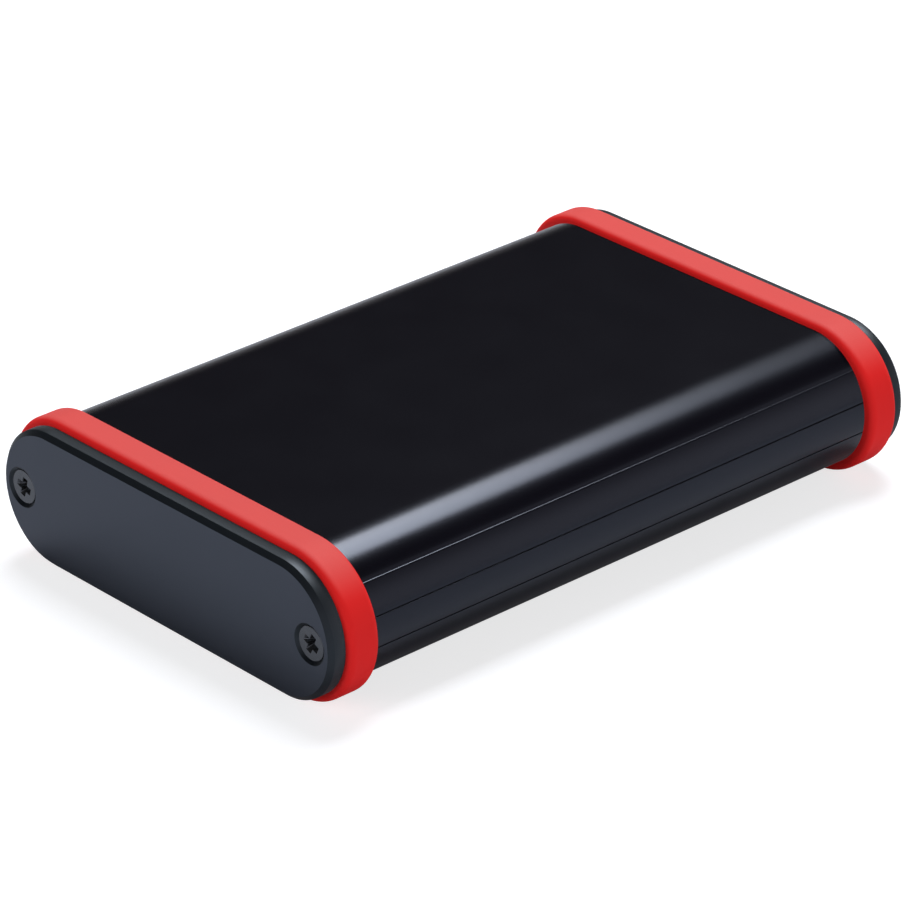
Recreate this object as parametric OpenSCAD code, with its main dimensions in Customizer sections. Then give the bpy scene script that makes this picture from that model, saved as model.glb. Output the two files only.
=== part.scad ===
// Extruded aluminium enclosure with rubber bumper bands.
// Lengths in millimetres. X runs across the width, Y from the front panel to the
// rear panel, Z up. The origin is on the ground under the middle of the case.

/* [Case] */
// length of the case over both end panels
case_len = 110; // [80:1:200]
// width of the end panels
case_w = 72; // [62:0.5:100]
// height of the tube and of the end panels
case_h = 21; // [19:0.5:26]

/* [Tube] */
// distance that each side of the tube stands back from the edge of the end panels
tube_inset = 0.5; // [0:0.1:1]
// thickness of the tube wall
wall_t = 1.8; // [1.4:0.1:2.4]

/* [Side grooves] */
// height of the middle grooves above and below the middle of the side
mid_groove_z = 2.4; // [1.5:0.1:4]
// width of a middle groove at the surface
mid_groove_w = 0.35; // [0.2:0.05:0.8]
// depth of a middle groove
mid_groove_d = 0.1; // [0.1:0.05:0.5]
// height of the outer grooves above and below the middle of the side
outer_groove_z = 7; // [5:0.1:8]
// width of an outer groove at the surface
outer_groove_w = 0.65; // [0.2:0.05:1]
// depth of an outer groove
outer_groove_d = 0.2; // [0.1:0.05:0.5]

/* [Board slots] */
// thickness of the circuit board that slides into a pair of slots
board_t = 1.6; // [1:0.1:2]
// play of the board in its slot, over both faces
board_play = 0.2; // [0.1:0.05:0.4]
// height of the board slots above and below the middle of the tube
slot_z = 4.3; // [4.2:0.05:4.6]
// thickness of the rails on both sides of a slot
rail_t = 1.2; // [0.8:0.1:1.5]

/* [End panels] */
// thickness of an end panel
panel_t = 2.6; // [2.2:0.1:4]
// chamfer round the outer face of an end panel
panel_chamfer = 0.7; // [0.3:0.1:1.2]

/* [Bumper bands] */
// width of a bumper band along the case
bumper_w = 5.2; // [4:0.1:10]
// height of a band above the end panel, all the way round
bumper_proud = 1.2; // [1:0.1:2.5]
// rounding of the outer edges of a band
bumper_round = 1; // [0.2:0.1:1]
// thickness of the lip of a band, between the tube and the end panel
lip_t = 1.5; // [1:0.1:2]
// reach of the pads of the lip past the screw axis, towards the middle
pad_reach = 4.3; // [3:0.1:6]

/* [Screws] */
// distance of the screw axis from the side edge of the end panel
screw_inset = 4.5; // [4.3:0.1:4.8]
// thread diameter of the screws
thread_d = 3; // [2.5:0.5:3]
// length of a screw with its head
screw_len = 10; // [8:1:20]
// largest diameter of the countersunk head
head_d = 5.2; // [4.7:0.1:5.6]
// straight rim round the top of the head
head_rim = 0.15; // [0.1:0.05:0.2]
// diameter of the countersink at the face of the panel
sink_d = 6.1; // [6:0.1:6.3]
// play of the thread in the through holes, on the diameter
hole_play = 0.4; // [0.2:0.1:0.6]
// play of the thread in the screw ports, on the diameter
port_play = 0.05; // [0.05:0.05:0.2]
// outer diameter of a screw port
port_d = 5.2; // [5:0.1:5.4]
// width of the slot that opens a screw port towards the middle
port_slot = 1.4; // [1:0.1:2]

/* [Cross recess] */
// width of the cross recess, from the tip of one wing to the other
recess_w = 3; // [2.2:0.1:3.4]
// thickness of a wing of the cross recess
recess_t = 0.95; // [0.5:0.05:1]
// depth of the cross recess
recess_d = 1.4; // [0.8:0.1:1.6]

/* [Hidden] */

black_anodised = [0.10, 0.10, 0.12];
red_silicone = [0.86, 0.16, 0.14];
black_steel = [0.16, 0.16, 0.18];

// width of the tube
tube_w = case_w - 2 * tube_inset;
// middle height of the case; the bands stand on the ground
mid_z = case_h / 2 + bumper_proud;
// back face of an end panel, from the middle of the case
panel_back = case_len / 2 - panel_t;
// end of the tube, from the middle of the case
tube_end = panel_back - lip_t;
// screw axis, from the middle of the case
screw_x = case_w / 2 - screw_inset;
// tips of the rails, in line with the screw ports
rail_x = screw_x - port_d / 2;
// height of a slot with the play of the board
slot_gap = board_t + board_play;
// diameter of the through holes for the screws
hole_d = thread_d + hole_play;
// height of the cone under a screw head
cone_h = (head_d - thread_d) / 2;
// depth of the top of a screw head below the face of its panel
head_depth = (sink_d - head_d) / 2 - head_rim;
// bevel at the tip of a screw
tip = 0.4;
// extra length that carries a cut clean through a face
over = 0.01;
// angles at which the cross recesses stopped when the screws were driven home
turn_front_left = 73;
turn_front_right = 65;
turn_rear_left = 38;
turn_rear_right = 5;

$fn = 96;

// flat outline with half round sides
module stadium(w, h) {
    union() {
        square([w - h, h], center = true);
        for (s = [-1, 1])
            translate([s * (w - h) / 2, 0])
                circle(d = h);
    }
}

// the same piece on the left and on the right of the middle
module both_sides() {
    children();
    mirror([1, 0, 0])
        children();
}

// the same outline above and below the middle
module both_levels() {
    children();
    mirror([0, 1, 0])
        children();
}

// V across the outline of the tube side at height z, w wide and d deep
module groove(z, w, d) {
    r = case_h / 2;
    mouth = w / 2 + w * w / (2 * d);
    translate([tube_w / 2 - r, 0])
        rotate(asin(z / r))
            translate([r, 0])
                polygon([[-d, 0], [w, mouth], [w, -mouth]]);
}

// the two rails of one board slot, from their tips into the tube wall
module slot_rails() {
    intersection() {
        stadium(tube_w - wall_t, case_h - wall_t);
        for (z = [slot_z - slot_gap / 2 - rail_t, slot_z + slot_gap / 2])
            translate([rail_x, z])
                square([tube_w / 2 - rail_x, rail_t]);
    }
}

// web that backs a screw port, between its two board slots
module port_web() {
    reach = slot_z - slot_gap / 2;
    intersection() {
        stadium(tube_w - wall_t, case_h - wall_t);
        translate([screw_x, -reach])
            square([tube_w / 2 - screw_x, 2 * reach]);
    }
}

// bore of a screw port with its slot towards the middle
module port_bore() {
    translate([screw_x, 0])
        circle(d = thread_d + port_play, $fn = 48);
    translate([screw_x - port_d, -port_slot / 2])
        square([port_d, port_slot]);
}

// section of the tube
module tube_section() {
    difference() {
        union() {
            difference() {
                stadium(tube_w, case_h);
                stadium(tube_w - 2 * wall_t, case_h - 2 * wall_t);
            }
            both_sides() {
                translate([screw_x, 0])
                    circle(d = port_d, $fn = 48);
                port_web();
                both_levels()
                    slot_rails();
            }
        }
        both_sides() {
            port_bore();
            both_levels() {
                groove(mid_groove_z, mid_groove_w, mid_groove_d);
                groove(outer_groove_z, outer_groove_w, outer_groove_d);
            }
        }
    }
}

// The tube: one extrusion with screw ports, board slots and side grooves.
module body() {
    color(black_anodised)
        translate([0, tube_end, mid_z])
            rotate([90, 0, 0])
                linear_extrude(height = 2 * tube_end)
                    tube_section();
}

// lays an outline across the case: its X points to +Y, its Y up
module along_x(length) {
    translate([-length / 2, 0, 0])
        rotate([90, 0, 90])
            linear_extrude(height = length)
                children();
}

// solid with half round sides from half of its section: the section's X runs from the
// middle plane out, its Y up
module round_sided(w, h) {
    union() {
        both_sides()
            translate([(w - h) / 2, 0, 0])
                rotate([0, 0, -90])
                    rotate_extrude(angle = 180)
                        children();
        along_x(w - h)
            both_sides()
                children();
    }
}

// countersunk through hole in a plate
module sunk_hole() {
    sink_h = (sink_d - hole_d) / 2;
    translate([0, 0, -over])
        cylinder(d = hole_d, h = panel_t + 2 * over, $fn = 48);
    translate([0, 0, panel_t - sink_h])
        cylinder(d1 = hole_d, d2 = sink_d + 2 * over, h = sink_h + over, $fn = 48);
}

// half section of an end panel, its outer edge bevelled
module panel_section() {
    r = case_h / 2;
    polygon([[0, 0], [r, 0], [r, panel_t - panel_chamfer], [r - panel_chamfer, panel_t],
             [0, panel_t]]);
}

// End panel, here lying with its outer face up: a plate with two countersunk holes.
module panel() {
    color(black_anodised)
        difference() {
            round_sided(case_w, case_h)
                panel_section();
            both_sides()
                translate([screw_x, 0, 0])
                    sunk_hole();
        }
}

// half section of the band from its middle plane out, both outer edges rounded
module band_section() {
    r = case_h / 2 + bumper_proud;
    k = bumper_round;
    union() {
        square([r - k, bumper_w]);
        translate([0, k])
            square([r, bumper_w - 2 * k]);
        for (y = [k, bumper_w - k])
            translate([r - k, y])
                circle(r = k, $fn = 24);
    }
}

// Bumper band, here lying on its panel side: a sleeve over the end of the tube and
// a lip in front of it, with a pad round each screw.
module bumper() {
    color(red_silicone)
        difference() {
            round_sided(case_w, case_h)
                band_section();
            translate([0, 0, lip_t])
                linear_extrude(height = bumper_w)
                    stadium(tube_w, case_h);
            translate([0, 0, -over])
                linear_extrude(height = lip_t + 2 * over)
                    intersection() {
                        stadium(tube_w - 2 * wall_t, case_h - 2 * wall_t);
                        square([2 * (screw_x - pad_reach), case_h], center = true);
                    }
            both_sides()
                translate([screw_x, 0, -over])
                    cylinder(d = hole_d, h = lip_t + 2 * over, $fn = 48);
        }
}

// cross recess with tapered ends, open at z = 0
module cross_recess() {
    intersection() {
        for (a = [0, 90])
            rotate([0, 0, a])
                translate([-recess_w / 2, -recess_t / 2, -recess_d])
                    cube([recess_w, recess_t, recess_d + over]);
        translate([0, 0, -recess_d])
            cylinder(d1 = 0.4 * recess_w, d2 = recess_w, h = recess_d + over, $fn = 48);
    }
}

// half outline of a screw, from the top of its head down to its tip
module screw_profile() {
    polygon([[0, 0], [head_d / 2, 0], [head_d / 2, -head_rim],
             [thread_d / 2, -head_rim - cone_h], [thread_d / 2, tip - screw_len],
             [thread_d / 2 - tip, -screw_len], [0, -screw_len]]);
}

// Countersunk screw, here with the top of its head up and at z = 0.
module screw(turn) {
    color(black_steel)
        difference() {
            rotate_extrude($fn = 48)
                screw_profile();
            rotate([0, 0, turn])
                cross_recess();
        }
}

module front_panel() {
    translate([0, -panel_back, mid_z])
        rotate([90, 0, 0])
            panel();
}

module front_bumper() {
    translate([0, -panel_back, mid_z])
        rotate([-90, 0, 0])
            bumper();
}

module front_screw(x, turn) {
    translate([x, head_depth - case_len / 2, mid_z])
        rotate([90, 0, 0])
            screw(turn);
}

// turns a piece of the front end round to the rear end
module at_rear() {
    rotate([0, 0, 180])
        children();
}

module rear_panel() {
    at_rear()
        front_panel();
}

module rear_bumper() {
    at_rear()
        front_bumper();
}

module front_screw_left() {
    front_screw(-screw_x, turn_front_left);
}

module front_screw_right() {
    front_screw(screw_x, turn_front_right);
}

module rear_screw_left() {
    at_rear()
        front_screw(screw_x, turn_rear_left);
}

module rear_screw_right() {
    at_rear()
        front_screw(-screw_x, turn_rear_right);
}

body();
front_panel();
rear_panel();
front_bumper();
rear_bumper();
front_screw_left();
front_screw_right();
rear_screw_left();
rear_screw_right();
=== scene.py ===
import math

import bmesh
import bpy
from mathutils import Matrix, Vector
from mathutils.geometry import tessellate_polygon


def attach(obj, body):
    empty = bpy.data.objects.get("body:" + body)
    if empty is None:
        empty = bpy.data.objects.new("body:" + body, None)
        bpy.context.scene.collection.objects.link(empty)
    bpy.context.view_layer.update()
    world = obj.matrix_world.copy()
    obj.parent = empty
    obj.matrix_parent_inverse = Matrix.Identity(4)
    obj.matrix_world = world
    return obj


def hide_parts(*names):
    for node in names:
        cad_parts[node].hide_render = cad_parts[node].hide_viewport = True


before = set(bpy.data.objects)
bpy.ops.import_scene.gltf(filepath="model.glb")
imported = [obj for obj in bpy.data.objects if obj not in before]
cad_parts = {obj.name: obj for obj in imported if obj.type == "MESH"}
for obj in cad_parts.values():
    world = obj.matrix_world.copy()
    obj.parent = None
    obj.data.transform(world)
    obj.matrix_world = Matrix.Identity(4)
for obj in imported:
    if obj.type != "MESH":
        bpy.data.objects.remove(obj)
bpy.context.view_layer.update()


# Camera. It stands at the front right of the case and looks down on it through a
# long lens, so that the case shows its front panel, its top and its right side.
MM = 0.001
CASE_MIDDLE = Vector((0, 0, 11.7 * MM))
CAMERA_AZIMUTH = math.radians(48.753)
CAMERA_ELEVATION = math.radians(27.032)
CAMERA_ROLL = math.radians(-1.064)
CAMERA_DISTANCE = 746.46 * MM
CAMERA_SLIDE = (-0.957 * MM, -1.832 * MM)
CAMERA_LENS, CAMERA_SENSOR = 206.1, 36
CAMERA_NEAR, CAMERA_FAR = 0.02, 20

back = Vector((math.sin(CAMERA_AZIMUTH) * math.cos(CAMERA_ELEVATION),
               -math.cos(CAMERA_AZIMUTH) * math.cos(CAMERA_ELEVATION),
               math.sin(CAMERA_ELEVATION)))
level_right = Vector((0, 0, 1)).cross(back).normalized()
level_up = back.cross(level_right)
right = math.cos(CAMERA_ROLL) * level_right + math.sin(CAMERA_ROLL) * level_up
up = math.cos(CAMERA_ROLL) * level_up - math.sin(CAMERA_ROLL) * level_right

camera_data = bpy.data.cameras.new("camera")
camera_data.lens = CAMERA_LENS
camera_data.sensor_width = CAMERA_SENSOR
camera_data.clip_start = CAMERA_NEAR
camera_data.clip_end = CAMERA_FAR
camera = bpy.data.objects.new("camera", camera_data)
camera_place = CASE_MIDDLE + back * CAMERA_DISTANCE + right * CAMERA_SLIDE[0] + up * CAMERA_SLIDE[1]
camera_turn = Matrix((right, up, back)).transposed().to_4x4()
camera.matrix_world = Matrix.Translation(camera_place) @ camera_turn
bpy.context.scene.collection.objects.link(camera)
bpy.context.scene.camera = camera


# Tube. One aluminium extrusion, 71 x 21 mm with half-round sides, sawn to length and
# black anodised to a satin finish. The die gives it the screw ports and board slots
# inside and four fine grooves along each side.
BODY = "root"
TUBE_W, TUBE_H, TUBE_WALL = 71 * MM, 21 * MM, 1.8 * MM
TUBE_LENGTH = 101.8 * MM
TUBE_FLAT_END = 0.4 * MM
STEP_GROOVE = ((0.40, 0), (0.33, -0.005), (-0.18, -0.058), (-0.20, -0.060), (-0.215, -0.054),
               (-0.28, -0.012), (-0.297, -0.004), (-0.32, 0))
LINE_GROOVE = ((0.15, 0), (0.115, -0.007), (0.09, -0.03), (0.08, -0.07), (0.07, -0.25),
               (-0.07, -0.25), (-0.08, -0.07), (-0.09, -0.03), (-0.115, -0.007), (-0.15, 0))
TUBE_GROOVES = ((7.0 * MM, STEP_GROOVE), (2.4 * MM, LINE_GROOVE))
RAIL_TIP, RAILS = 28.9 * MM, ((6.4 * MM, 5.2 * MM), (3.4 * MM, 2.2 * MM))
SCREW_X = 31.5 * MM
PORT_R, PORT_BORE_R, PORT_SLOT = 2.6 * MM, 1.525 * MM, 0.7 * MM
ARC_STEP, INSIDE_STEP = math.radians(1.5), math.radians(3)
PORT_STEP, BORE_STEP = math.radians(6), math.radians(7.5)
SAME_POINT = 1e-7
CREASE = math.radians(50)
GRAIN_SCALE, LINE_SCALE, LINE_STRETCH, CLOUD_SCALE = 9000, 3200, 0.004, 90
GRAIN_BUMP, LINE_BUMP = 0.01 * MM, 0.02 * MM


def arc(cx, cz, r, start, end, step=ARC_STEP):
    """Points on an arc from the angle start to the angle end, both included."""
    count = max(1, round(abs(end - start) / step))
    angles = [start + (end - start) * i / count for i in range(count + 1)]
    return [(cx + r * math.cos(a), cz + r * math.sin(a)) for a in angles]


def mirrored(quarter):
    """The closed outline made of a quarter from the top middle to the right middle."""
    half = quarter + [(x, -z) for x, z in reversed(quarter)]
    ring = half + [(-x, z) for x, z in reversed(half)]
    kept = []
    for point in ring:
        if not kept or math.dist(point, kept[-1]) > SAME_POINT:
            kept.append(point)
    if math.dist(kept[0], kept[-1]) < SAME_POINT:
        kept.pop()
    return kept


def tube_outside():
    """Outer outline. A groove's section is (up along the side, out of it) in mm, top down."""
    r = TUBE_H / 2
    cx = TUBE_W / 2 - r
    quarter = [(0, r), (cx - TUBE_FLAT_END, r)]
    angle = math.pi / 2
    for height, section in TUBE_GROOVES:
        middle = math.asin(height / r)
        polar = [(middle + along * MM / r, r + out * MM) for along, out in section]
        quarter += arc(cx, 0, r, angle, polar[0][0])
        quarter += [(cx + radius * math.cos(a), radius * math.sin(a)) for a, radius in polar[1:]]
        angle = polar[-1][0]
    quarter += arc(cx, 0, r, angle, 0)
    return mirrored(quarter)


def tube_inside():
    """Inner outline: the wall, two rails for each board slot and the open screw port."""
    r = TUBE_H / 2 - TUBE_WALL
    cx = TUBE_W / 2 - TUBE_H / 2
    quarter = [(0, r), (cx - TUBE_FLAT_END, r)]
    angle = math.pi / 2
    for top, bottom in RAILS:
        quarter += arc(cx, 0, r, angle, math.asin(top / r), INSIDE_STEP)
        quarter += [(RAIL_TIP, top), (RAIL_TIP, bottom)]
        angle = math.asin(bottom / r)
    quarter += arc(SCREW_X, 0, PORT_R, math.pi - math.asin(RAILS[1][1] / PORT_R),
                   math.pi - math.asin(PORT_SLOT / PORT_R), PORT_STEP)
    quarter += arc(SCREW_X, 0, PORT_BORE_R, math.pi - math.asin(PORT_SLOT / PORT_BORE_R), 0,
                   BORE_STEP)
    return mirrored(quarter)


def outline_mesh(name, rings):
    """A mesh of closed rings of edges in its XY plane."""
    points, edges = [], []
    for ring in rings:
        first = len(points)
        points += [(x, z, 0) for x, z in ring]
        edges += [(first + i, first + (i + 1) % len(ring)) for i in range(len(ring))]
    mesh = bpy.data.meshes.new(name)
    mesh.from_pydata(points, edges, [])
    return mesh


def extrusion_tree(material):
    """Geometry Nodes that fill an outline, push it out to a length and lay it along Y."""
    tree = bpy.data.node_groups.new("extrusion", "GeometryNodeTree")
    face = tree.interface
    face.new_socket("Outline", in_out="INPUT", socket_type="NodeSocketGeometry")
    face.new_socket("Length", in_out="INPUT", socket_type="NodeSocketFloat")
    face.new_socket("Height", in_out="INPUT", socket_type="NodeSocketFloat")
    face.new_socket("Extrusion", in_out="OUTPUT", socket_type="NodeSocketGeometry")
    new, link = tree.nodes.new, tree.links.new
    given, made = new("NodeGroupInput"), new("NodeGroupOutput")
    to_curve, fill = new("GeometryNodeMeshToCurve"), new("GeometryNodeFillCurve")
    link(given.outputs["Outline"], to_curve.inputs["Mesh"])
    link(to_curve.outputs["Curve"], fill.inputs["Curve"])
    push = new("GeometryNodeExtrudeMesh")
    push.mode = "FACES"
    push.inputs["Individual"].default_value = False
    push.inputs["Offset"].default_value = (0, 0, 1)
    link(fill.outputs["Mesh"], push.inputs["Mesh"])
    link(given.outputs["Length"], push.inputs["Offset Scale"])
    flip, join = new("GeometryNodeFlipFaces"), new("GeometryNodeJoinGeometry")
    merge = new("GeometryNodeMergeByDistance")
    merge.inputs["Distance"].default_value = SAME_POINT
    link(fill.outputs["Mesh"], flip.inputs["Mesh"])
    link(flip.outputs["Mesh"], join.inputs["Geometry"])
    link(push.outputs["Mesh"], join.inputs["Geometry"])
    link(join.outputs["Geometry"], merge.inputs["Geometry"])
    half, middle = new("ShaderNodeMath"), new("ShaderNodeCombineXYZ")
    half.operation = "DIVIDE"
    half.inputs[1].default_value = 2
    link(given.outputs["Length"], half.inputs[0])
    link(half.outputs[0], middle.inputs["Y"])
    link(given.outputs["Height"], middle.inputs["Z"])
    lay = new("GeometryNodeTransform")
    lay.inputs["Rotation"].default_value = (math.pi / 2, 0, 0)
    link(middle.outputs[0], lay.inputs["Translation"])
    link(merge.outputs["Geometry"], lay.inputs["Geometry"])
    angle, sharp = new("GeometryNodeInputMeshEdgeAngle"), new("FunctionNodeCompare")
    smooth, crease = new("GeometryNodeSetShadeSmooth"), new("GeometryNodeSetShadeSmooth")
    sharp.operation = "GREATER_THAN"
    sharp.inputs["B"].default_value = CREASE
    crease.domain = "EDGE"
    crease.inputs["Shade Smooth"].default_value = False
    link(angle.outputs["Unsigned Angle"], sharp.inputs["A"])
    link(sharp.outputs["Result"], crease.inputs["Selection"])
    real, paint = new("GeometryNodeRealizeInstances"), new("GeometryNodeSetMaterial")
    paint.inputs["Material"].default_value = material
    link(lay.outputs["Geometry"], smooth.inputs["Geometry"])
    link(smooth.outputs["Geometry"], crease.inputs["Geometry"])
    link(crease.outputs["Geometry"], real.inputs["Geometry"])
    link(real.outputs["Geometry"], paint.inputs["Geometry"])
    link(paint.outputs["Geometry"], made.inputs["Extrusion"])
    return tree


def grown(name, base, tree, values):
    """The plain mesh object that a Geometry Nodes tree grows from a base mesh."""
    seed = bpy.data.objects.new(name + "_seed", base)
    bpy.context.scene.collection.objects.link(seed)
    nodes = seed.modifiers.new("grow", "NODES")
    nodes.node_group = tree
    for item in tree.interface.items_tree:
        if item.name in values:
            nodes[item.identifier] = values[item.name]
    view_layer = bpy.context.evaluated_depsgraph_get()
    mesh = bpy.data.meshes.new_from_object(seed.evaluated_get(view_layer))
    bpy.data.objects.remove(seed)
    piece = bpy.data.objects.new(name, mesh)
    bpy.context.scene.collection.objects.link(piece)
    return piece


def anodised_skin():
    """Group for an anodised skin: fine grain and faint draw lines that run along Y."""
    tree = bpy.data.node_groups.new("anodised skin", "ShaderNodeTree")
    face = tree.interface
    for name in ("Roughness", "Spread", "Grain Depth", "Line Depth"):
        face.new_socket(name, in_out="INPUT", socket_type="NodeSocketFloat")
    for name in ("Dark", "Light"):
        face.new_socket(name, in_out="INPUT", socket_type="NodeSocketColor")
    face.new_socket("Color", in_out="OUTPUT", socket_type="NodeSocketColor")
    face.new_socket("Roughness", in_out="OUTPUT", socket_type="NodeSocketFloat")
    face.new_socket("Normal", in_out="OUTPUT", socket_type="NodeSocketVector")
    new, link = tree.nodes.new, tree.links.new
    given, made = new("NodeGroupInput"), new("NodeGroupOutput")
    where = new("ShaderNodeTexCoord")
    grain = new("ShaderNodeTexNoise")
    grain.inputs["Scale"].default_value = GRAIN_SCALE
    grain.inputs["Detail"].default_value = 2
    link(where.outputs["Object"], grain.inputs["Vector"])
    draw, lines = new("ShaderNodeMapping"), new("ShaderNodeTexNoise")
    draw.inputs["Scale"].default_value = (1, LINE_STRETCH, 1)
    lines.inputs["Scale"].default_value = LINE_SCALE
    lines.inputs["Detail"].default_value = 4
    link(where.outputs["Object"], draw.inputs["Vector"])
    link(draw.outputs[0], lines.inputs["Vector"])
    cloud = new("ShaderNodeTexNoise")
    cloud.inputs["Scale"].default_value = CLOUD_SCALE
    cloud.inputs["Detail"].default_value = 3
    link(where.outputs["Object"], cloud.inputs["Vector"])
    swing, rough = new("ShaderNodeMath"), new("ShaderNodeMath")
    swing.operation = "SUBTRACT"
    swing.inputs[1].default_value = 0.5
    rough.operation = "MULTIPLY_ADD"
    link(cloud.outputs["Fac"], swing.inputs[0])
    link(swing.outputs[0], rough.inputs[0])
    link(given.outputs["Spread"], rough.inputs[1])
    link(given.outputs["Roughness"], rough.inputs[2])
    link(rough.outputs[0], made.inputs["Roughness"])
    tone = new("ShaderNodeMix")
    tone.data_type = "RGBA"
    link(grain.outputs["Fac"], tone.inputs["Factor"])
    link(given.outputs["Dark"], tone.inputs["A"])
    link(given.outputs["Light"], tone.inputs["B"])
    link(tone.outputs["Result"], made.inputs["Color"])
    line_bump, grain_bump = new("ShaderNodeBump"), new("ShaderNodeBump")
    line_bump.inputs["Distance"].default_value = LINE_BUMP
    grain_bump.inputs["Distance"].default_value = GRAIN_BUMP
    link(given.outputs["Line Depth"], line_bump.inputs["Strength"])
    link(lines.outputs["Fac"], line_bump.inputs["Height"])
    link(given.outputs["Grain Depth"], grain_bump.inputs["Strength"])
    link(grain.outputs["Fac"], grain_bump.inputs["Height"])
    link(line_bump.outputs["Normal"], grain_bump.inputs["Normal"])
    link(grain_bump.outputs["Normal"], made.inputs["Normal"])
    return tree


def anodised(name, skin, values, specular, tint):
    """Black metal under a satin skin; values go to the skin group, tint to the gloss."""
    material = bpy.data.materials.new(name)
    material.use_nodes = True
    nodes, links = material.node_tree.nodes, material.node_tree.links
    shader = nodes["Principled BSDF"]
    shader.inputs["IOR"].default_value = 1.5
    shader.inputs["Specular IOR Level"].default_value = specular
    shader.inputs["Specular Tint"].default_value = tint
    group = nodes.new("ShaderNodeGroup")
    group.node_tree = skin
    for key, value in values.items():
        group.inputs[key].default_value = value
    links.new(group.outputs["Color"], shader.inputs["Base Color"])
    links.new(group.outputs["Roughness"], shader.inputs["Roughness"])
    links.new(group.outputs["Normal"], shader.inputs["Normal"])
    return material


skin = anodised_skin()
tube_black = anodised("tube black", skin, {
    "Roughness": 0.23, "Spread": 0.04, "Grain Depth": 0.2, "Line Depth": 0.1,
    "Dark": (0.0014, 0.0010, 0.0026, 1), "Light": (0.0026, 0.0020, 0.0044, 1)},
    specular=0.6, tint=(0.66, 0.75, 0.965, 1))
outline = outline_mesh("tube outline", (tube_outside(), tube_inside()))
tube = grown("tube", outline, extrusion_tree(tube_black),
             {"Length": TUBE_LENGTH, "Height": CASE_MIDDLE.z})
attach(tube, BODY)
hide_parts("body")


# End panels. Two flat aluminium plates, 72 x 21 x 2.6 mm with half-round ends, milled
# with a 0.7 mm bevel round the outer face, countersunk for two screws each and black
# anodised: satin on the face, duller on the milled edge and in the countersinks.
PANEL_W, PANEL_H, PANEL_T = 72 * MM, 21 * MM, 2.6 * MM
PANEL_BEVEL, PANEL_EDGE = 0.7 * MM, 0.06 * MM
PANEL_FLAT_END = 0.3 * MM
PANEL_BACK = 52.4 * MM
SINK_R, SINK_LIP, HOLE_R = 3.05 * MM, 0.04 * MM, 1.7 * MM
END_STEP = math.pi / 64
CIRCLE_POINTS = 64
MID_ROUND = 0.3


def round_sided(w, h, inset):
    """Ring of points of an outline with half-round sides, inset from w x h."""
    r = h / 2 - inset
    cx = (w - h) / 2
    quarter = [(0, r), (cx * 0.5, r), (cx - PANEL_FLAT_END, r)]
    quarter += arc(cx, 0, r, math.pi / 2, 0, END_STEP)
    return mirrored(quarter)


def circle(x, r, count=CIRCLE_POINTS):
    """Ring of points of a circle round (x, 0)."""
    return [(x + r * math.cos(2 * math.pi * i / count), r * math.sin(2 * math.pi * i / count))
            for i in range(count)]


def add_rows(bm, rows, material_index=0):
    """Lofts rings of equally many points, given as (ring, height); returns the vertex rings."""
    made = []
    for ring, height in rows:
        made.append([bm.verts.new((x, z, height)) for x, z in ring])
    for low, high in zip(made, made[1:]):
        for i in range(len(low)):
            j = (i + 1) % len(low)
            face = bm.faces.new((low[i], low[j], high[j], high[i]))
            face.smooth = True
            face.material_index = material_index
    return made


def add_flat(bm, rings):
    """Fills the flat face between an outer ring of vertices and its holes."""
    loops = [[v.co for v in ring] for ring in rings]
    flat = [v for ring in rings for v in ring]
    for triangle in tessellate_polygon(loops):
        face = bm.faces.new([flat[i] for i in triangle])
        face.smooth = True
        for border in face.edges:
            if len(border.link_faces) > 1:
                border.smooth = False


def stand_up(bm, name, front):
    """Turns a piece made lying on its back so that its Z points out of the front or rear."""
    tilt = Matrix(((1, 0, 0), (0, 0, -1), (0, 1, 0)))
    if not front:
        tilt = Matrix(((-1, 0, 0), (0, -1, 0), (0, 0, 1))) @ tilt
    y = -PANEL_BACK if front else PANEL_BACK
    bmesh.ops.recalc_face_normals(bm, faces=bm.faces)
    bmesh.ops.transform(bm, matrix=tilt.to_4x4(), verts=bm.verts)
    bmesh.ops.translate(bm, vec=(0, y, CASE_MIDDLE.z), verts=bm.verts)
    mesh = bpy.data.meshes.new(name)
    bm.to_mesh(mesh)
    bm.free()
    piece = bpy.data.objects.new(name, mesh)
    bpy.context.scene.collection.objects.link(piece)
    return piece


def panel_rows():
    """Rows (inset, height) from the back to the outer face, the bevel's corners rounded."""
    e, c, t = PANEL_EDGE, PANEL_BEVEL, PANEL_T
    soft = 0.41 * e
    return ((e, 0), (0.0, e), (0.0, t - c - soft), (0.08 * e, t - c - 0.1 * e),
            (0.25 * e, t - c + 0.14 * e), (0.5 * e, t - c + 0.42 * e),
            (c - 0.42 * e, t - 0.5 * e), (c - 0.14 * e, t - 0.25 * e),
            (c + 0.1 * e, t - 0.08 * e), (c + soft, t))


def sink_rows():
    """Rows (radius, height) of a countersunk hole, from the outer face to the back.

    MID_ROUND is where the middle of a small rounding lies, as a share of its radius.
    """
    lip, t, k = SINK_LIP, PANEL_T, MID_ROUND
    cone = SINK_R - HOLE_R
    return ((SINK_R + lip, t), (SINK_R + k * lip, t - k * lip), (SINK_R - lip, t - (1 + k) * lip),
            (HOLE_R, t - cone - k * lip), (HOLE_R, 0))


def end_panel(name, front):
    bm = bmesh.new()
    rim = add_rows(bm, [(round_sided(PANEL_W, PANEL_H, inset), height)
                        for inset, height in panel_rows()], 1)
    holes = [add_rows(bm, [(circle(x, r), height) for r, height in sink_rows()], 1)
             for x in (-SCREW_X, SCREW_X)]
    add_flat(bm, [rim[-1]] + [hole[0] for hole in holes])
    add_flat(bm, [rim[0]] + [hole[-1] for hole in holes])
    return stand_up(bm, name, front)


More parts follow.
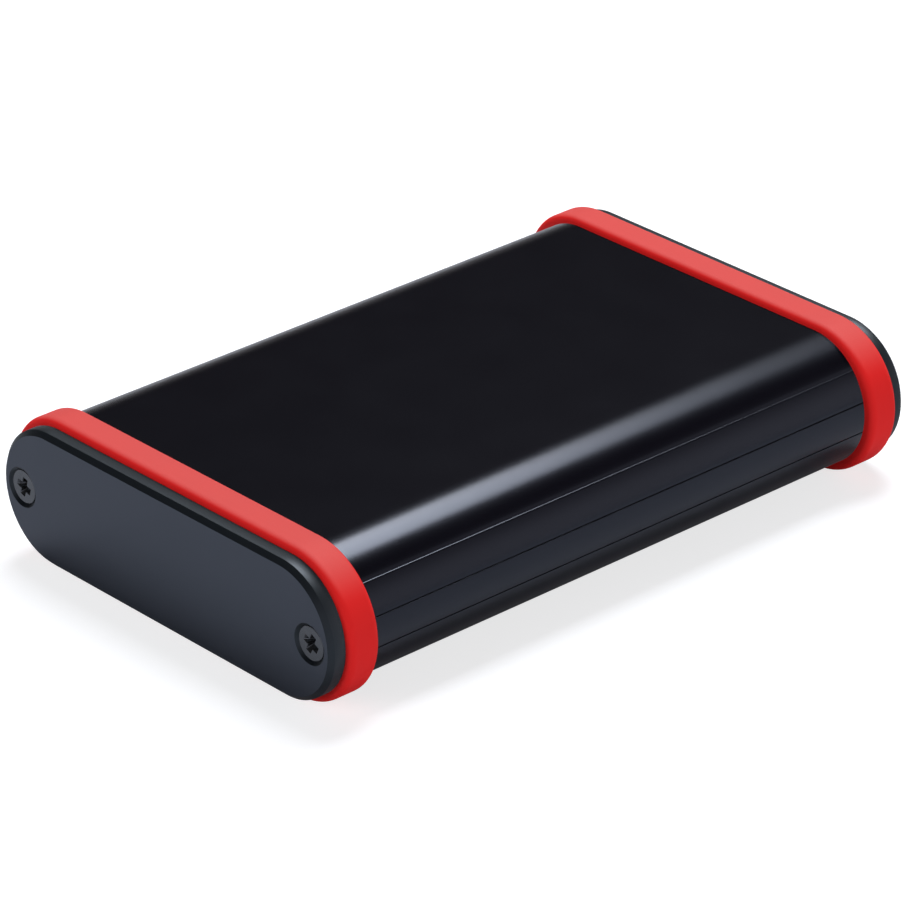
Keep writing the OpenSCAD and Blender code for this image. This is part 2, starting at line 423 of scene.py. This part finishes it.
panel_face = anodised("panel face black", skin, {
    "Roughness": 0.31, "Spread": 0.05, "Grain Depth": 0.3, "Line Depth": 0.0,
    "Dark": (0.0025, 0.003, 0.0045, 1), "Light": (0.0045, 0.0055, 0.008, 1)},
    specular=1.2, tint=(0.64, 0.75, 1, 1))
panel_edge = anodised("panel edge black", skin, {
    "Roughness": 0.47, "Spread": 0.05, "Grain Depth": 0.2, "Line Depth": 0.0,
    "Dark": (0.001, 0.0018, 0.003, 1), "Light": (0.002, 0.0035, 0.005, 1)},
    specular=0.75, tint=(0.74, 0.86, 1, 1))
for name, front, node in (("front_plate", True, "front_panel"), ("rear_plate", False, "rear_panel")):
    plate = end_panel(name, front)
    plate.data.materials.append(panel_face)
    plate.data.materials.append(panel_edge)
    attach(plate, BODY)
    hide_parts(node)


# Bumper bands. Two red silicone rubber mouldings: a sleeve that grips the end of the
# tube, a lip that the panel clamps on the tube's end and a pad round each screw. They
# are matte, and left out of mirror images, so the black metal beside them stays neutral.
BAND_W, BAND_PROUD, BAND_ROUND, BAND_LIP = 5.2 * MM, 1.2 * MM, 1.0 * MM, 1.5 * MM
BAND_PAD_X = 27.2 * MM
BAND_SIDE_END, BAND_TOP_END = 0.1 * MM, 0.15 * MM
BAND_ROUND_STEPS, WINDOW_STEP = 9, math.radians(4.5)
BAND_HOLE_POINTS = 32
# The last of these is the pale tone laid on upward faces: partly dust, partly a painted sheen of the light
# from above.
RED_DEEP, RED_PALE, DUST_AND_SHEEN = (0.76, 0.013, 0.013, 1), (0.81, 0.017, 0.016, 1), (0.55, 0.45, 0.42, 1)
RUBBER_SPECULAR, RUBBER_ROUGHNESS = 0.22, (0.62, 0.72)
RUBBER_CLOUD_SCALE, RUBBER_FINE_SCALE = 160, 7000
RUBBER_BUMP, RUBBER_BUMP_STRENGTH = 0.01 * MM, 0.35
# How much of the pale tone goes on upward-facing surfaces: a film of dust together with a painted sheen from
# the overhead light.
SHEEN_DUST_SLOPE, SHEEN_DUST_SHARE = (0.5, 1.0), 0.17
SHEEN_DUST_SPECKS, SHEEN_DUST_LEAST = 0.5, 0.75


def band_window():
    """Outline of the hole in the lip: the inside of the tube, cut square at the pads."""
    r = TUBE_H / 2 - TUBE_WALL
    cx = (TUBE_W - TUBE_H) / 2
    quarter = [(0, r)] + arc(cx, 0, r, math.pi / 2, math.acos((BAND_PAD_X - cx) / r), WINDOW_STEP)
    return mirrored(quarter + [(BAND_PAD_X, 0)])


def bumper_band(name, front):
    bm = bmesh.new()
    k, w = BAND_ROUND, BAND_W
    turns = [math.pi / 2 * i / BAND_ROUND_STEPS for i in range(BAND_ROUND_STEPS + 1)]
    rounds = [(k + BAND_SIDE_END, 0)] + [(k - k * math.sin(a), k - k * math.cos(a)) for a in turns]
    rounds.append((0, k + BAND_TOP_END))
    profile = rounds + [(inset, w - height) for inset, height in reversed(rounds)]
    outside = [(round_sided(PANEL_W, PANEL_H, inset - BAND_PROUD), height) for inset, height in profile]
    inside = [(round_sided(TUBE_W, TUBE_H, 0), height) for height in (w, BAND_LIP)]
    shell = add_rows(bm, outside + inside)
    walls = [add_rows(bm, [(band_window(), BAND_LIP), (band_window(), 0)])]
    for x in (-SCREW_X, SCREW_X):
        hole = circle(x, HOLE_R, BAND_HOLE_POINTS)
        walls.append(add_rows(bm, [(hole, BAND_LIP), (hole, 0)]))
    add_flat(bm, [shell[0]] + [wall[-1] for wall in walls])
    add_flat(bm, [shell[-1]] + [wall[0] for wall in walls])
    for ring in (shell[len(outside) - 1], shell[len(outside)]):
        for i, v in enumerate(ring):
            bm.edges.get((v, ring[(i + 1) % len(ring)])).smooth = False
    for v in bm.verts:
        v.co.z = -v.co.z
    return stand_up(bm, name, front)


def red_rubber():
    """Matte silicone: cloudy gloss, a very fine grain, and a pale film on what faces up, partly dust and
    partly a painted sheen of the light from above.
    """
    material = bpy.data.materials.new("red silicone")
    material.use_nodes = True
    new, link = material.node_tree.nodes.new, material.node_tree.links.new
    shader = material.node_tree.nodes["Principled BSDF"]
    shader.inputs["Specular IOR Level"].default_value = RUBBER_SPECULAR
    where, face = new("ShaderNodeTexCoord"), new("ShaderNodeNewGeometry")
    cloud, fine = new("ShaderNodeTexNoise"), new("ShaderNodeTexNoise")
    cloud.inputs["Scale"].default_value = RUBBER_CLOUD_SCALE
    cloud.inputs["Detail"].default_value = 4
    fine.inputs["Scale"].default_value = RUBBER_FINE_SCALE
    fine.inputs["Detail"].default_value = 3
    for noise in (cloud, fine):
        link(where.outputs["Object"], noise.inputs["Vector"])
    tone, dust_and_sheen = new("ShaderNodeMix"), new("ShaderNodeMix")
    tone.data_type = dust_and_sheen.data_type = "RGBA"
    tone.inputs["A"].default_value = RED_DEEP
    tone.inputs["B"].default_value = RED_PALE
    dust_and_sheen.inputs["B"].default_value = DUST_AND_SHEEN
    link(cloud.outputs["Fac"], tone.inputs["Factor"])
    gloss = new("ShaderNodeMapRange")
    gloss.inputs["To Min"].default_value, gloss.inputs["To Max"].default_value = RUBBER_ROUGHNESS
    link(cloud.outputs["Fac"], gloss.inputs["Value"])
    link(gloss.outputs["Result"], shader.inputs["Roughness"])
    # Mask by how much a face points up: there the red is painted paler, partly as dust and partly as a
    # painted sheen of the light from above.
    parts, sheen_dust_mask = new("ShaderNodeSeparateXYZ"), new("ShaderNodeMapRange")
    sheen_dust_mask.interpolation_type = "SMOOTHSTEP"
    sheen_dust_mask.inputs["From Min"].default_value, sheen_dust_mask.inputs["From Max"].default_value = SHEEN_DUST_SLOPE
    sheen_dust_mask.inputs["To Max"].default_value = SHEEN_DUST_SHARE
    link(face.outputs["Normal"], parts.inputs[0])
    link(parts.outputs["Z"], sheen_dust_mask.inputs["Value"])
    dust_sheen_specks, sheen_dust_film = new("ShaderNodeMath"), new("ShaderNodeMath")
    dust_sheen_specks.operation, sheen_dust_film.operation = "MULTIPLY_ADD", "MULTIPLY"
    dust_sheen_specks.inputs[1].default_value = SHEEN_DUST_SPECKS
    dust_sheen_specks.inputs[2].default_value = SHEEN_DUST_LEAST
    link(fine.outputs["Fac"], dust_sheen_specks.inputs[0])
    link(sheen_dust_mask.outputs["Result"], sheen_dust_film.inputs[0])
    link(dust_sheen_specks.outputs[0], sheen_dust_film.inputs[1])
    link(sheen_dust_film.outputs[0], dust_and_sheen.inputs["Factor"])
    link(tone.outputs["Result"], dust_and_sheen.inputs["A"])
    link(dust_and_sheen.outputs["Result"], shader.inputs["Base Color"])
    bump = new("ShaderNodeBump")
    bump.inputs["Distance"].default_value = RUBBER_BUMP
    bump.inputs["Strength"].default_value = RUBBER_BUMP_STRENGTH
    link(fine.outputs["Fac"], bump.inputs["Height"])
    link(bump.outputs["Normal"], shader.inputs["Normal"])
    return material


silicone = red_rubber()
for name, front, node in (("front_band", True, "front_bumper"), ("rear_band", False, "rear_bumper")):
    band = bumper_band(name, front)
    band.data.materials.append(silicone)
    band.visible_glossy = False
    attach(band, BODY)
    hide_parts(node)


# Screws. Four M3 x 10 countersunk screws of black plated steel with a cross recess, two
# through each panel and band into the ports of the tube. The heads sit a little below
# the face of the panel.
HEAD_R, HEAD_RIM, THREAD_R, SCREW_L = 2.6 * MM, 0.15 * MM, 1.5 * MM, 10 * MM
HEAD_SUNK, HEAD_ROUND = 0.3 * MM, 0.13 * MM
THREAD_PITCH, THREAD_DEPTH, TIP_BEVEL = 0.5 * MM, 0.27 * MM, 0.4 * MM
THREAD_ROWS, SCREW_POINTS = 6, 48
RECESS_R, RECESS_HALF, RECESS_DEPTH = 1.5 * MM, 0.475 * MM, 1.4 * MM
RECESS_MOUTH, RECESS_CORNER = 0.08 * MM, 0.12 * MM
RECESS_TAPER = ((0.62, 0.9, 0.75), (0.42, 0.8, 1))
SCREW_CREASE = math.radians(40)
SCREW_TURNS = ((-1, True, 73), (1, True, 65), (-1, False, 38), (1, False, 5))


def cross_ring(reach, half, corner):
    """Ring of a cross with rounded wing tips and rounded inner corners."""
    k = MID_ROUND * corner
    wing = [(reach - corner, half), (reach - k, half - k), (reach, half - corner),
            (reach, 0), (reach, corner - half), (reach - k, k - half),
            (reach - corner, -half), (half + corner, -half), (half + k, -half - k)]
    ring = []
    for quarter in range(4):
        a = -quarter * math.pi / 2
        ring += [(x * math.cos(a) - z * math.sin(a), x * math.sin(a) + z * math.cos(a)) for x, z in wing]
    return ring[::-1]


def screw_mesh():
    """One screw along Z, its head up, the top of the head at zero."""
    bm = bmesh.new()
    k = MID_ROUND * HEAD_ROUND
    start, end = THREAD_R - HEAD_R - HEAD_RIM, TIP_BEVEL - SCREW_L
    head = ((HEAD_R - HEAD_ROUND, 0), (HEAD_R - k, -k), (HEAD_R, -HEAD_ROUND),
            (HEAD_R, -HEAD_RIM), (THREAD_R, start))
    rows = [(circle(0, r, SCREW_POINTS), z) for r, z in head]
    steps = round((start - end) / THREAD_PITCH * THREAD_ROWS)
    for i in range(1, steps + 1):
        z = start + (end - start) * i / steps
        ring = []
        for j in range(SCREW_POINTS):
            phase = (z / THREAD_PITCH + j / SCREW_POINTS) % 1
            r = THREAD_R - THREAD_DEPTH * (1 - abs(2 * phase - 1)) * min(1, i / THREAD_ROWS)
            a = 2 * math.pi * j / SCREW_POINTS
            ring.append((r * math.cos(a), r * math.sin(a)))
        rows.append((ring, z))
    rows.append((circle(0, THREAD_R - TIP_BEVEL, SCREW_POINTS), -SCREW_L))
    outside = add_rows(bm, rows)
    add_flat(bm, [outside[-1]])
    cuts = [(RECESS_R, RECESS_HALF + RECESS_MOUTH, 0), (RECESS_R - RECESS_MOUTH, RECESS_HALF, -RECESS_MOUTH)]
    cuts += [(RECESS_R * reach, RECESS_HALF * half, -RECESS_DEPTH * depth)
             for reach, half, depth in RECESS_TAPER]
    recess = add_rows(bm, [(cross_ring(reach, half, RECESS_CORNER), z) for reach, half, z in cuts])
    add_flat(bm, [outside[0], recess[0]])
    add_flat(bm, [recess[-1]])
    bmesh.ops.recalc_face_normals(bm, faces=bm.faces)
    for border in bm.edges:
        if len(border.link_faces) == 2 and border.calc_face_angle() > SCREW_CREASE:
            border.smooth = False
    mesh = bpy.data.meshes.new("screw")
    bm.to_mesh(mesh)
    bm.free()
    return mesh


def screw_places():
    """One vertex for each screw, with its turns stored as an attribute."""
    mesh = bpy.data.meshes.new("screw places")
    y = PANEL_BACK + PANEL_T - HEAD_SUNK
    places, turns = [], []
    for side, front, degrees in SCREW_TURNS:
        places.append((side * SCREW_X, -y if front else y, CASE_MIDDLE.z))
        turns.append((math.pi / 2 if front else -math.pi / 2, math.radians(degrees), 0))
    mesh.from_pydata(places, [], [])
    mesh.attributes.new("turns", "FLOAT_VECTOR", "POINT").data.foreach_set("vector", sum(turns, ()))
    return mesh


def screw_tree(screw, material):
    """Geometry Nodes that put one screw at each place, driven home to its own angle."""
    tree = bpy.data.node_groups.new("screws", "GeometryNodeTree")
    face = tree.interface
    face.new_socket("Places", in_out="INPUT", socket_type="NodeSocketGeometry")
    face.new_socket("Screw", in_out="INPUT", socket_type="NodeSocketObject")
    face.new_socket("Screws", in_out="OUTPUT", socket_type="NodeSocketGeometry")
    new, link = tree.nodes.new, tree.links.new
    given, made = new("NodeGroupInput"), new("NodeGroupOutput")
    info, put = new("GeometryNodeObjectInfo"), new("GeometryNodeInstanceOnPoints")
    link(given.outputs["Screw"], info.inputs["Object"])
    link(given.outputs["Places"], put.inputs["Points"])
    link(info.outputs["Geometry"], put.inputs["Instance"])
    turns, split = new("GeometryNodeInputNamedAttribute"), new("ShaderNodeSeparateXYZ")
    turns.data_type = "FLOAT_VECTOR"
    turns.inputs["Name"].default_value = "turns"
    link(turns.outputs["Attribute"], split.inputs[0])
    tilt, spin = new("ShaderNodeCombineXYZ"), new("ShaderNodeCombineXYZ")
    link(split.outputs["X"], tilt.inputs["X"])
    link(split.outputs["Y"], spin.inputs["Z"])
    tipped, spun = new("GeometryNodeRotateInstances"), new("GeometryNodeRotateInstances")
    for node, angles, source in ((tipped, tilt, put), (spun, spin, tipped)):
        link(source.outputs["Instances"], node.inputs["Instances"])
        link(angles.outputs[0], node.inputs["Rotation"])
        node.inputs["Local Space"].default_value = True
    real, paint = new("GeometryNodeRealizeInstances"), new("GeometryNodeSetMaterial")
    paint.inputs["Material"].default_value = material
    link(spun.outputs["Instances"], real.inputs["Geometry"])
    link(real.outputs["Geometry"], paint.inputs["Geometry"])
    link(paint.outputs["Geometry"], made.inputs["Screws"])
    return tree


screw_black = anodised("black plated steel", skin, {
    "Roughness": 0.24, "Spread": 0.2, "Grain Depth": 1.0, "Line Depth": 0.0,
    "Dark": (0.004, 0.0043, 0.005, 1), "Light": (0.024, 0.025, 0.026, 1)},
    specular=1.6, tint=(0.82, 0.88, 1, 1))
one_screw = bpy.data.objects.new("one_screw", screw_mesh())
screws = grown("panel_screws", screw_places(), screw_tree(one_screw, screw_black), {"Screw": one_screw})
bpy.data.objects.remove(one_screw)
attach(screws, BODY)
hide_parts("front_screw_left", "front_screw_right", "rear_screw_left", "rear_screw_right")


# Studio. A plain white floor under the case, a large soft key lamp above and a little
# behind it, a fill lamp at the front and one at the right, both left out of mirror
# images; the far surroundings are pale low down and dark above.
FLOOR_SIZE = 3.0
FLOOR_GREY, FLOOR_TINT = 0.55, (0.92, 0.96, 1.04)
FLOOR_GLOW, FLOOR_GLOW_MIRRORED = 0.72, 0.02
LAMPS = (("key", (-0.207, 0.32, 0.87), (0.49, 0.56), 8.2, True),
         ("front fill", (-0.16, -1.12, 0.44), (0.8, 0.6), 5.2, False),
         ("side fill", (1.15, 0.15, 0.14), (0.24, 1.2), 4.4, False))
SKY_COLOR, SKY_SEEN = (1, 0.95, 0.97, 1), 1.0
SKY_UP, SKY_RISE, SKY_LEVELS = (-0.35, 0, 1), (0.0, 0.55), (0.6, 0.02)


def seen_level(nodes, links, straight, mirrored_level):
    """One level for what the camera sees, another in mirror images and through glass."""
    path, through = nodes.new("ShaderNodeLightPath"), nodes.new("ShaderNodeMath")
    first, both = nodes.new("ShaderNodeMath"), nodes.new("ShaderNodeMath")
    through.operation, first.operation, both.operation = "MAXIMUM", "MULTIPLY", "MULTIPLY_ADD"
    first.inputs[1].default_value, both.inputs[1].default_value = straight, mirrored_level
    links.new(path.outputs["Is Glossy Ray"], through.inputs[0])
    links.new(path.outputs["Is Transmission Ray"], through.inputs[1])
    links.new(path.outputs["Is Camera Ray"], first.inputs[0])
    links.new(through.outputs[0], both.inputs[0])
    links.new(first.outputs[0], both.inputs[2])
    return both.outputs[0]


floor_mesh = bpy.data.meshes.new("floor")
reach = FLOOR_SIZE / 2
floor_mesh.from_pydata([(-reach, -reach, 0), (reach, -reach, 0), (reach, reach, 0), (-reach, reach, 0)],
                       [], [(0, 1, 2, 3)])
floor = bpy.data.objects.new("floor", floor_mesh)
bpy.context.scene.collection.objects.link(floor)
white = bpy.data.materials.new("studio white")
white.use_nodes = True
nodes, links = white.node_tree.nodes, white.node_tree.links
nodes.remove(nodes["Principled BSDF"])
cloth, glow = nodes.new("ShaderNodeBsdfDiffuse"), nodes.new("ShaderNodeEmission")
added = nodes.new("ShaderNodeAddShader")
cloth.inputs["Color"].default_value = (*(FLOOR_GREY * part for part in FLOOR_TINT), 1)
links.new(seen_level(nodes, links, FLOOR_GLOW, FLOOR_GLOW_MIRRORED), glow.inputs["Strength"])
links.new(cloth.outputs[0], added.inputs[0])
links.new(glow.outputs[0], added.inputs[1])
links.new(added.outputs[0], nodes["Material Output"].inputs["Surface"])
floor_mesh.materials.append(white)

for name, spot, size, power, in_mirror_images in LAMPS:
    lamp = bpy.data.lights.new(name, "AREA")
    lamp.shape = "RECTANGLE"
    lamp.size, lamp.size_y = size
    lamp.energy = power
    holder = bpy.data.objects.new(name, lamp)
    away = (Vector(spot) - CASE_MIDDLE).normalized()
    across = Vector((0, 1, 0)).cross(away).normalized()
    lamp_turn = Matrix((across, away.cross(across), away)).transposed().to_4x4()
    holder.matrix_world = Matrix.Translation(spot) @ lamp_turn
    holder.visible_camera = False
    holder.visible_glossy = in_mirror_images
    bpy.context.scene.collection.objects.link(holder)

world = bpy.data.worlds.new("studio")
world.use_nodes = True
bpy.context.scene.world = world
nodes, links = world.node_tree.nodes, world.node_tree.links
sky = nodes["Background"]
sky.inputs["Color"].default_value = SKY_COLOR
way, along = nodes.new("ShaderNodeTexCoord"), nodes.new("ShaderNodeVectorMath")
along.operation = "DOT_PRODUCT"
along.inputs[1].default_value = SKY_UP
links.new(way.outputs["Generated"], along.inputs[0])
fade = nodes.new("ShaderNodeMapRange")
fade.inputs["From Min"].default_value, fade.inputs["From Max"].default_value = SKY_RISE
fade.inputs["To Min"].default_value, fade.inputs["To Max"].default_value = SKY_LEVELS
links.new(along.outputs["Value"], fade.inputs["Value"])
path, pick = nodes.new("ShaderNodeLightPath"), nodes.new("ShaderNodeMix")
pick.inputs["B"].default_value = SKY_SEEN
links.new(path.outputs["Is Camera Ray"], pick.inputs["Factor"])
links.new(fade.outputs["Result"], pick.inputs["A"])
links.new(pick.outputs["Result"], sky.inputs["Strength"])

bpy.context.scene.view_settings.view_transform = "Standard"
